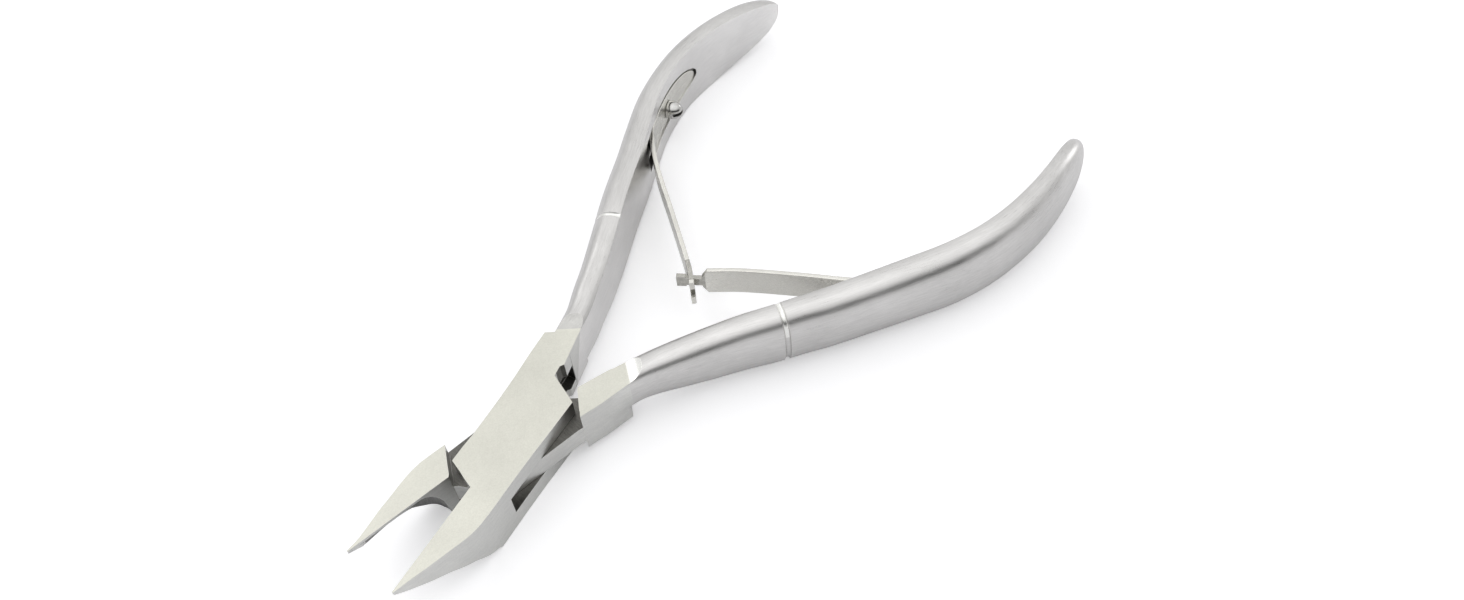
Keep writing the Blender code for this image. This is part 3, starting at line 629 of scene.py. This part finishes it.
def leaf_fine(name, path):
    dist = [0.0]
    for a, b in zip(path, path[1:]):
        dist.append(dist[-1] + (b - a).length)
    stations = [FOOT_TAPER * (1 - math.cos(math.radians(a))) for a in range(7, 86, 4)]
    s = FOOT_TAPER
    while s < dist[-1] - 0.2:
        stations.append(s)
        s += 0.4
    stations.append(dist[-1])
    rings = []
    for s in stations:
        i = 0
        while i < len(dist) - 2 and s > dist[i + 1]:
            i += 1
        t = (s - dist[i]) / (dist[i + 1] - dist[i])
        p = path[i].lerp(path[i + 1], t)
        a, b = path[max(i - 1, 0)], path[min(i + 2, len(path) - 1)]
        d = (b - a).normalized()
        n = Vector((d.y, -d.x)) * (LEAF_T / 2)
        h = LEAF_H
        if s < FOOT_TAPER:
            h = LEAF_H * math.sqrt(max(1 - ((FOOT_TAPER - s) / FOOT_TAPER) ** 2, 0.0))
        rings.append(leaf_ring(p, n, h))
    return ring_solid(name, rings)


def finish_leaf(ob, side):
    clean(ob)
    hook = Vector((0.35, 39.1))
    for f in ob.data.polygons:
        c = f.center / MM
        f.material_index = 1 if (Vector((c.x, c.y)) - hook).length < 2.3 else 0
    add_flow(ob, side)
    smooth_shade(ob, 35)


def fine_outer_leaf():
    ob = leaf_fine('outer_leaf', leaf_path(-1, FOOT_OUTER_Y, LEAF_OUTER))
    a, b = Vector(LEAF_OUTER[-2]), Vector(LEAF_OUTER[-1])
    d = (b - a).normalized()
    combine(ob, slab('fork', a - d * 0.7, b + d * 3.0, 1.5, Z_LEAF - 1.0, Z_LEAF + 1.0), 'DIFFERENCE')
    combine(ob, cylinder_along('fork_end', a - d * 0.7, Vector((d.y, -d.x)), 1.0, 1.5), 'DIFFERENCE')
    p, n = face_frame(-1, SCREW_OUTER_Y)
    combine(ob, along('hole', p, n, [(-3.0, SCREW_R + 0.3), (3.0, SCREW_R + 0.3)], 40), 'DIFFERENCE')
    finish_leaf(ob, -1)
    return ob


def cylinder_along(name, p, n, r, half, seg=32):
    """Cylinder across the leaf at height Z_LEAF."""
    t = Vector((-n.y, n.x))
    rings = []
    for s in (-half, half):
        ring = []
        for k in range(seg):
            a = 2 * math.pi * k / seg
            q = p + n * s + t * (r * math.cos(a))
            ring.append((q.x, q.y, Z_LEAF + r * math.sin(a)))
        rings.append(ring)
    return ring_solid(name, rings)


def fine_inner_leaf():
    ob = leaf_fine('inner_leaf', leaf_path(1, FOOT_INNER_Y, LEAF_INNER))
    a, b = Vector(LEAF_INNER[-3]), Vector(LEAF_INNER[-1])
    d = (b - a).normalized()
    for s in (-1, 1):
        zn = sorted((Z_LEAF + s * 0.8, Z_LEAF + s * 6.0))
        combine(ob, slab('neck', a - d * 0.1, a + d * 2.55, 1.5, zn[0], zn[1]), 'DIFFERENCE')
        zh = sorted((Z_LEAF + s * 1.1, Z_LEAF + s * 6.0))
        combine(ob, slab('head', a + d * 2.54, b + d * 2.0, 1.5, zh[0], zh[1]), 'DIFFERENCE')
        # the shoulders are cut back to the neck
        side = Vector((d.y, -d.x)) * 1.5
        tri = [(a - d * 1.15, 2.75), (a + d * 0.25, 2.75), (a + d * 0.25, 1.2), (a - d * 0.15, 1.2)]
        rings = [[((q + side * k).x, (q + side * k).y, Z_LEAF + s * z) for q, z in tri] for k in (-1, 1)]
        combine(ob, ring_solid('shoulder', rings), 'DIFFERENCE')
    p, n = face_frame(1, SCREW_INNER_Y)
    combine(ob, along('hole', p, n, [(-3.0, SCREW_R + 0.3), (3.0, SCREW_R + 0.3)], 40), 'DIFFERENCE')
    finish_leaf(ob, 1)
    return ob


# ---------------------------------------------------------------- fine fasteners
def fine_screw(name, side, y):
    """Slotted dome-head screw, polished; its axis is square to the handle's inner face."""
    p, n = face_frame(side, y)
    top = FOOT_DEPTH - 0.06
    prof = [(3.8, SCREW_R * 0.7), (3.55, SCREW_R)]
    k = 3.3
    while k > top + 0.5:                             # thread
        prof += [(k, SCREW_R), (k - 0.11, SCREW_R - 0.1), (k - 0.22, SCREW_R)]
        k -= 0.3
    prof += [(top + 0.02, SCREW_R), (top, SCREW_HEAD_R - 0.1), (top - 0.04, SCREW_HEAD_R - 0.03),
             (top - 0.12, SCREW_HEAD_R), (top - 0.45, SCREW_HEAD_R)]
    for i in range(1, 17):
        a = math.radians(84 * i / 16)
        prof.append((top - 0.45 - (SCREW_HEAD_H - 0.45) * math.sin(a), SCREW_HEAD_R * math.cos(a) ** 0.9))
    ob = along(name, p, n, prof, 72)
    t = Vector((-n.y, n.x)) * 3.0
    a, b = p + n * (top - SCREW_HEAD_H - 1.0), p + n * (top - SCREW_HEAD_H + 1.35)
    slot = [tuple(a + t), tuple(a - t), tuple(b - t), tuple(b + t)]
    combine(ob, prism('driver', slot, Z_SCREW - 0.36, Z_SCREW + 0.36), 'DIFFERENCE')
    clean(ob)
    floor_t = top - SCREW_HEAD_H + 1.35
    for f in ob.data.polygons:
        c = f.center / MM
        depth = (Vector((c.x, c.y)) - p).dot(n)
        # the driver slot's faces get painted shade
        in_slot = abs(c.z - Z_SCREW) < 0.365 and depth < floor_t + 0.01 and \
            (abs(f.normal.z) > 0.98 or abs(depth - floor_t) < 0.01)
        f.material_index = 1 if in_slot else 0
    add_flow(ob, side)
    smooth_shade(ob, 40)
    return ob


def fine_pin():
    """Pivot pin, riveted and ground flush at both ends."""
    seg = 96
    prof = [(0.0, PIN_R - 0.004), (0.006, PIN_R), (1.2, PIN_R), (SLOT_LO, PIN_R), (SLOT_LO + 0.2, PIN_R - 0.01),
            (SLOT_HI - 0.2, PIN_R - 0.01), (SLOT_HI, PIN_R), (8.2, PIN_R), (Z_TOP - 0.006, PIN_R),
            (Z_TOP, PIN_R - 0.004)]
    rings = []
    for z, r in prof:
        rings.append([(r * math.cos(2 * math.pi * k / seg), r * math.sin(2 * math.pi * k / seg), z)
                      for k in range(seg)])
    ob = ring_solid('pin', rings)
    clean(ob)
    add_flow(ob, -1)
    smooth_shade(ob, 40)
    return ob


# ---------------------------------------------------------------- steel finishes, and copies with painted shade and highlights
def metal(name, dark, light, rough, rough_var, streak, bump, speck=0.0, edge=0.00012,
          wear=0.6, cloud=0.5, use_flow=True):
    """Steel with a directional grain, cloudy handling marks and lighter worn edges.
    dark and light are the colours the grain runs between; streak is the grain's
    frequency across, along and up, per metre."""
    m = bpy.data.materials.new(name)
    m.use_nodes = True
    nt = m.node_tree
    nodes, links = nt.nodes, nt.links
    b = nodes['Principled BSDF']
    b.inputs['Metallic'].default_value = 1.0

    def new(kind, **props):
        nd = nodes.new(kind)
        for k, v in props.items():
            setattr(nd, k, v)
        return nd

    def math_node(op, a, c, clamp=False):
        nd = new('ShaderNodeMath', operation=op, use_clamp=clamp)
        for i, v in ((0, a), (1, c)):
            if isinstance(v, (int, float)):
                nd.inputs[i].default_value = v
            else:
                links.new(v, nd.inputs[i])
        return nd.outputs[0]

    if use_flow:
        co = new('ShaderNodeAttribute', attribute_name='flow', attribute_type='GEOMETRY').outputs['Vector']
    else:
        co = new('ShaderNodeTexCoord').outputs['Object']
    place = new('ShaderNodeTexCoord').outputs['Object'] if not use_flow else co

    def noise(scale_vec, detail, rough_n, source):
        mp = new('ShaderNodeMapping')
        mp.inputs['Scale'].default_value = scale_vec
        links.new(source, mp.inputs['Vector'])
        nz = new('ShaderNodeTexNoise')
        nz.inputs['Scale'].default_value = 1.0
        nz.inputs['Detail'].default_value = detail
        nz.inputs['Roughness'].default_value = rough_n
        links.new(mp.outputs['Vector'], nz.inputs['Vector'])
        return nz.outputs['Fac']

    fine = noise(streak, 4.0, 0.65, co)                               # brushed lines
    broad = noise(tuple(s * 0.42 for s in streak), 3.0, 0.5, co)      # groups of lines
    marks = noise((95.0, 95.0, 95.0), 3.0, 0.55, place)               # handling marks
    grit = noise((5200.0, 5200.0, 5200.0), 2.0, 0.6, place)           # fine grain

    mixed = math_node('ADD', math_node('MULTIPLY', fine, 0.6), math_node('MULTIPLY', broad, 0.4))
    mixed = math_node('ADD', math_node('MULTIPLY', mixed, 1.0 - speck), math_node('MULTIPLY', grit, speck))
    ramp = new('ShaderNodeMapRange')
    ramp.inputs['From Min'].default_value = 0.32
    ramp.inputs['From Max'].default_value = 0.68
    links.new(mixed, ramp.inputs['Value'])
    col = new('ShaderNodeMix', data_type='RGBA')
    col.inputs['A'].default_value = (*dark, 1.0)
    col.inputs['B'].default_value = (*light, 1.0)
    links.new(ramp.outputs['Result'], col.inputs['Factor'])
    tone = new('ShaderNodeMix', data_type='RGBA', blend_type='MULTIPLY')
    tone.inputs['Factor'].default_value = 1.0
    shade_ramp = new('ShaderNodeMapRange')
    shade_ramp.inputs['From Min'].default_value = 0.3
    shade_ramp.inputs['From Max'].default_value = 0.7
    shade_ramp.inputs['To Min'].default_value = 1.0 - 0.10 * cloud
    shade_ramp.inputs['To Max'].default_value = 1.0 + 0.04 * cloud
    links.new(marks, shade_ramp.inputs['Value'])
    links.new(col.outputs['Result'], tone.inputs['A'])
    links.new(shade_ramp.outputs['Result'], tone.inputs['B'])

    # rounded edges: the normal turns over a hair's width, and the edge is worn lighter
    bev = new('ShaderNodeBevel', samples=6)
    bev.inputs['Radius'].default_value = edge
    geo = new('ShaderNodeNewGeometry')
    dot = new('ShaderNodeVectorMath', operation='DOT_PRODUCT')
    links.new(bev.outputs['Normal'], dot.inputs[0])
    links.new(geo.outputs['Normal'], dot.inputs[1])
    away = math_node('SUBTRACT', 1.0, dot.outputs['Value'], True)
    worn = math_node('MULTIPLY', away, 6.0 * wear, True)
    edge_col = new('ShaderNodeMix', data_type='RGBA')
    edge_col.inputs['B'].default_value = (0.93, 0.925, 0.90, 1.0)
    links.new(worn, edge_col.inputs['Factor'])
    links.new(tone.outputs['Result'], edge_col.inputs['A'])
    links.new(edge_col.outputs['Result'], b.inputs['Base Color'])

    r1 = math_node('MULTIPLY', math_node('SUBTRACT', mixed, 0.5), rough_var)
    r2 = math_node('MULTIPLY', math_node('SUBTRACT', marks, 0.5), rough_var * 0.6)
    r3 = math_node('ADD', math_node('ADD', r1, r2), rough)
    r4 = math_node('SUBTRACT', r3, math_node('MULTIPLY', worn, 0.08), True)
    links.new(r4, b.inputs['Roughness'])

    bp = new('ShaderNodeBump')
    bp.inputs['Strength'].default_value = bump
    bp.inputs['Distance'].default_value = 0.00004
    links.new(mixed, bp.inputs['Height'])
    links.new(bev.outputs['Normal'], bp.inputs['Normal'])
    links.new(bp.outputs['Normal'], b.inputs['Normal'])
    return m


GROUND = metal('ground_flat', (0.625, 0.62, 0.555), (0.73, 0.725, 0.655), 0.38, 0.20,
               (3800.0, 2600.0, 3800.0), 0.10, speck=0.55, wear=0.3, cloud=0.8, edge=0.00004, use_flow=False)
# ground side faces: real vertical grain, with a tone lighter than the top that is painted light, standing in
# for the brighter reflection the sides show
SIDES_PAINTED_LIGHTER = metal('ground_sides_painted_lighter', (0.66, 0.66, 0.64), (0.80, 0.80, 0.775), 0.34, 0.22,
              (900.0, 900.0, 5200.0), 0.12, speck=0.35, wear=0.6, cloud=0.8, use_flow=False)
# painted highlight: a near-white, glossier copy of the steel for the inner half's wheel run-out and the upper
# part of the turned groove, standing in for the highlight they catch
PAINTED_HIGHLIGHT_STEEL = metal('runout_and_groove_painted_highlight', (0.84, 0.84, 0.81), (0.95, 0.95, 0.92), 0.24, 0.12,
              (5200.0, 900.0, 5200.0), 0.08, speck=0.2, wear=0.4, cloud=0.3, use_flow=False)
# painted shade: a near-black copy of the steel for the slot and recess faces, the tongue's top, a strip of the
# cheek's side and the screws' driver slots, where shade falls
PAINTED_SHADE_STEEL = metal('painted_shade_recess', (0.10, 0.098, 0.09), (0.22, 0.215, 0.20), 0.42, 0.20,
                 (700.0, 4200.0, 4200.0), 0.15, speck=0.3, wear=0.5, cloud=1.5, use_flow=False)
# painted shade: a dark copy of the steel for the hollow under each cutting land, which lies in shade
HOLLOW_PAINTED_SHADE = metal('hollow_painted_shade', (0.20, 0.20, 0.195), (0.36, 0.36, 0.35), 0.26, 0.18,
                 (5200.0, 5200.0, 500.0), 0.14, speck=0.25, wear=0.5, cloud=1.0, use_flow=False)
BRUSHED = metal('brushed_satin', (0.62, 0.612, 0.60), (0.79, 0.78, 0.77), 0.31, 0.24,
                (8600.0, 620.0, 8600.0), 0.24, speck=0.12, wear=0.7, cloud=1.0)
LEAF = metal('spring_temper', (0.70, 0.69, 0.645), (0.86, 0.85, 0.80), 0.26, 0.20,
             (5600.0, 420.0, 5600.0), 0.14, speck=0.2, wear=0.8, cloud=0.9, edge=0.00009)
HOOK = metal('spring_hook', (0.30, 0.295, 0.27), (0.62, 0.61, 0.57), 0.24, 0.20,
             (3600.0, 900.0, 3600.0), 0.20, speck=0.4, wear=0.9, cloud=1.5, edge=0.00009)
POLISH = metal('polished_screw', (0.52, 0.515, 0.50), (0.66, 0.655, 0.64), 0.09, 0.08,
               (2600.0, 2600.0, 2600.0), 0.05, speck=0.2, wear=0.4, cloud=0.8, edge=0.00006)
PINMAT = metal('ground_pin', (0.625, 0.62, 0.555), (0.73, 0.725, 0.655), 0.38, 0.20,
               (3800.0, 2600.0, 3800.0), 0.10, speck=0.55, wear=0.0, cloud=0.8, edge=0.00001, use_flow=False)


def dress(ob, mats):
    """Gives a piece its materials (finishes and painted shade or highlight copies) and keeps which face has
    which.
    """
    indices = [f.material_index for f in ob.data.polygons]
    ob.data.materials.clear()
    for m in mats:
        ob.data.materials.append(m)
    ob.data.polygons.foreach_set('material_index', indices)


def place(ob, name, body, mats, slot_name, *nodes):
    ob.name = name
    dress(ob, mats)
    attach(ob, body)
    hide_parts(*nodes)


# painted shade: a darker copy of the run-out steel for the outer half's run-out, which catches less light than
# the inner one
RUNOUT_PAINTED_SHADE = metal('runout_painted_shade', (0.46, 0.455, 0.44), (0.62, 0.615, 0.595), 0.32, 0.20,
                   (5200.0, 900.0, 5200.0), 0.14, speck=0.2, wear=0.4, cloud=0.6, use_flow=False)


# painted shade: a darker copy of brushed_satin for the outer half's handle, which is less lit than the inner
# one
BRUSHED_OUTER_PAINTED_SHADE = metal('brushed_satin_outer_painted_shade', (0.585, 0.578, 0.565), (0.745, 0.735, 0.725), 0.31, 0.24,
                     (8600.0, 620.0, 8600.0), 0.24, speck=0.12, wear=0.7, cloud=1.0)
# painted light: a much lighter copy of the brushed steel for the handles' flat inner faces, standing in for the
# bright reflection they show; the grain is real
INNER_FACE_PAINTED_LIGHT = metal('inner_face_painted_light', (0.79, 0.782, 0.77), (0.95, 0.94, 0.93), 0.33, 0.22,
                   (8600.0, 620.0, 8600.0), 0.20, speck=0.2, wear=0.6, cloud=0.9)


def half_mats(runout, brushed):
    return (GROUND, SIDES_PAINTED_LIGHTER, runout, PAINTED_SHADE_STEEL, HOLLOW_PAINTED_SHADE, brushed, PAINTED_HIGHLIGHT_STEEL, INNER_FACE_PAINTED_LIGHT)


def place_half(ob, name, body, runout, brushed):
    dress(ob, half_mats(runout, brushed))
    ob.name = name
    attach(ob, body)
    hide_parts(body)


# the outer half gets the painted-shade copies of the run-out and brushed steel, the inner half the
# painted-highlight run-out
place_half(build_outer_half(), 'outer_half_fine', 'outer_half', RUNOUT_PAINTED_SHADE, BRUSHED_OUTER_PAINTED_SHADE)
place_half(build_inner_half(), 'inner_half_fine', 'inner_half', PAINTED_HIGHLIGHT_STEEL, BRUSHED)

place(fine_pin(), 'pivot_pin_fine', 'outer_half', (PINMAT,), 'satin_steel', 'pivot_pin')
place(fine_screw('s', -1, SCREW_OUTER_Y), 'outer_screw_fine', 'outer_half', (POLISH, PAINTED_SHADE_STEEL),
      'polished_steel', 'outer_spring_screw')
place(fine_screw('s', 1, SCREW_INNER_Y), 'inner_screw_fine', 'inner_half', (POLISH, PAINTED_SHADE_STEEL),
      'polished_steel', 'inner_spring_screw')


def place_leaf(ob, name, node):
    """Names the leaf, gives it its materials, bakes its place into the mesh and hides the frame's spring; it is
    not attached to a body.
    """
    ob.name = name
    dress(ob, (LEAF, HOOK))
    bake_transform(ob)
    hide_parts(node)


place_leaf(fine_outer_leaf(), 'outer_leaf_fine', 'outer_spring')
place_leaf(fine_inner_leaf(), 'inner_leaf_fine', 'inner_spring')

# ---------------------------------------------------------------- stage, light, camera
sc = bpy.context.scene
floor_me = bpy.data.meshes.new('floor')
floor_me.from_pydata([(-3, -3, 0), (3, -3, 0), (3, 3, 0), (-3, 3, 0)], [], [(0, 1, 2, 3)])
floor = bpy.data.objects.new('floor', floor_me)
sc.collection.objects.link(floor)
floor.location = (0, 0, -0.00002)
fm = bpy.data.materials.new('pale_table')
fm.use_nodes = True
nt = fm.node_tree
pb = nt.nodes['Principled BSDF']
pb.inputs['Base Color'].default_value = (0.86, 0.86, 0.875, 1.0)
pb.inputs['Roughness'].default_value = 0.9
pb.inputs['Specular IOR Level'].default_value = 0.1
lp = nt.nodes.new('ShaderNodeLightPath')
glow = nt.nodes.new('ShaderNodeMath')
glow.operation = 'MULTIPLY'
glow.inputs[1].default_value = 0.31
nt.links.new(lp.outputs['Is Camera Ray'], glow.inputs[0])
pb.inputs['Emission Color'].default_value = (1.0, 1.0, 1.0, 1.0)
nt.links.new(glow.outputs[0], pb.inputs['Emission Strength'])
floor_me.materials.append(fm)

world = bpy.data.worlds.new('studio')
sc.world = world
world.use_nodes = True
wn = world.node_tree
wn.nodes.clear()
out = wn.nodes.new('ShaderNodeOutputWorld')
bg = wn.nodes.new('ShaderNodeBackground')
tc = wn.nodes.new('ShaderNodeTexCoord')
sep = wn.nodes.new('ShaderNodeSeparateXYZ')
wn.links.new(tc.outputs['Generated'], sep.inputs['Vector'])


def height_ramp(stops):
    """Brightness of the room against the height of the direction, -0.2 to 1."""
    mr = wn.nodes.new('ShaderNodeMapRange')
    mr.inputs['From Min'].default_value = -0.2
    mr.inputs['From Max'].default_value = 1.0
    wn.links.new(sep.outputs['Z'], mr.inputs['Value'])
    cr = wn.nodes.new('ShaderNodeValToRGB')
    cr.color_ramp.interpolation = 'EASE'
    while len(cr.color_ramp.elements) < len(stops):
        cr.color_ramp.elements.new(0.5)
    for e, (z, v) in zip(cr.color_ramp.elements, stops):
        e.position = (z + 0.2) / 1.2
    for e, (z, v) in zip(cr.color_ramp.elements, stops):
        e.color = (v / 1.3, v / 1.3, v / 1.3, 1.0)
    wn.links.new(mr.outputs['Result'], cr.inputs['Fac'])
    return cr.outputs['Color']


near_side = height_ramp([(-0.2, 0.80), (0.04, 0.92), (0.13, 0.50), (0.22, 0.10), (0.38, 0.03), (0.54, 0.42), (0.70, 0.95), (0.84, 1.12), (1.0, 1.30)])
far_side = height_ramp([(-0.2, 0.60), (0.05, 0.72), (0.22, 0.80), (0.45, 0.90), (0.70, 0.97), (0.84, 1.10), (1.0, 1.30)])
turn = wn.nodes.new('ShaderNodeMapRange')
turn.interpolation_type = 'SMOOTHSTEP'
turn.inputs['From Min'].default_value = -0.15
turn.inputs['From Max'].default_value = 0.55
wn.links.new(sep.outputs['X'], turn.inputs['Value'])
both = wn.nodes.new('ShaderNodeMix')
both.data_type = 'RGBA'
wn.links.new(turn.outputs['Result'], both.inputs['Factor'])
wn.links.new(far_side, both.inputs['A'])
wn.links.new(near_side, both.inputs['B'])
# the dark band ends before the far right, so that the handle's tip stays light
ahead_y = wn.nodes.new('ShaderNodeMapRange')
ahead_y.interpolation_type = 'SMOOTHSTEP'
ahead_y.inputs['From Min'].default_value = 0.20
ahead_y.inputs['From Max'].default_value = 0.62
ahead_y.inputs['To Max'].default_value = 0.8
wn.links.new(sep.outputs['Y'], ahead_y.inputs['Value'])
room = wn.nodes.new('ShaderNodeMix')
room.data_type = 'RGBA'
wn.links.new(ahead_y.outputs['Result'], room.inputs['Factor'])
wn.links.new(both.outputs['Result'], room.inputs['A'])
wn.links.new(far_side, room.inputs['B'])
bg.inputs['Strength'].default_value = 1.3
wn.links.new(room.outputs['Result'], bg.inputs['Color'])
wn.links.new(bg.outputs['Background'], out.inputs['Surface'])


def soft_light(name, direction, distance, size, power, aim=(0.0, 0.035, 0.0)):
    ld = bpy.data.lights.new(name, 'AREA')
    ld.shape = 'DISK'
    ld.size = size
    ld.energy = power
    ob = bpy.data.objects.new(name, ld)
    sc.collection.objects.link(ob)
    d = Vector(direction).normalized()
    ob.location = Vector(aim) + d * distance
    ob.rotation_mode = 'QUATERNION'
    ob.rotation_quaternion = d.to_track_quat('Z', 'Y')
    return ob


soft_light('key_left', (-0.71, -0.02, 0.70), 0.9, 0.30, 0.26)
soft_light('rim_back', (0.10, 0.97, 0.22), 0.9, 0.25, 0.25)

cam_data = bpy.data.cameras.new('camera')
cam = bpy.data.objects.new('camera', cam_data)
sc.collection.objects.link(cam)
right = Vector((0.765432, 0.639444, -0.072281))
down = Vector((0.457480, -0.619702, -0.637716))
ahead = Vector((-0.452576, 0.455061, -0.766873))
eye = Vector((0.0954631, -0.0496284, 0.1566081))
m4 = Matrix.Identity(4)
for i in range(3):
    m4[i][0], m4[i][1], m4[i][2], m4[i][3] = right[i], -down[i], -ahead[i], eye[i]
cam.matrix_world = m4
cam_data.sensor_width = 36.0
cam_data.lens = 1229.891 * 36.0 / 1464.0
cam_data.shift_x = (732.0 - 723.3836) / 1464.0
cam_data.shift_y = (295.9997 - 300.0) / 1464.0
cam_data.clip_start = 0.001
cam_data.dof.use_dof = False
sc.camera = cam
sc.view_settings.view_transform = 'Standard'
sc.view_settings.look = 'None'

bpy.context.view_layer.update()
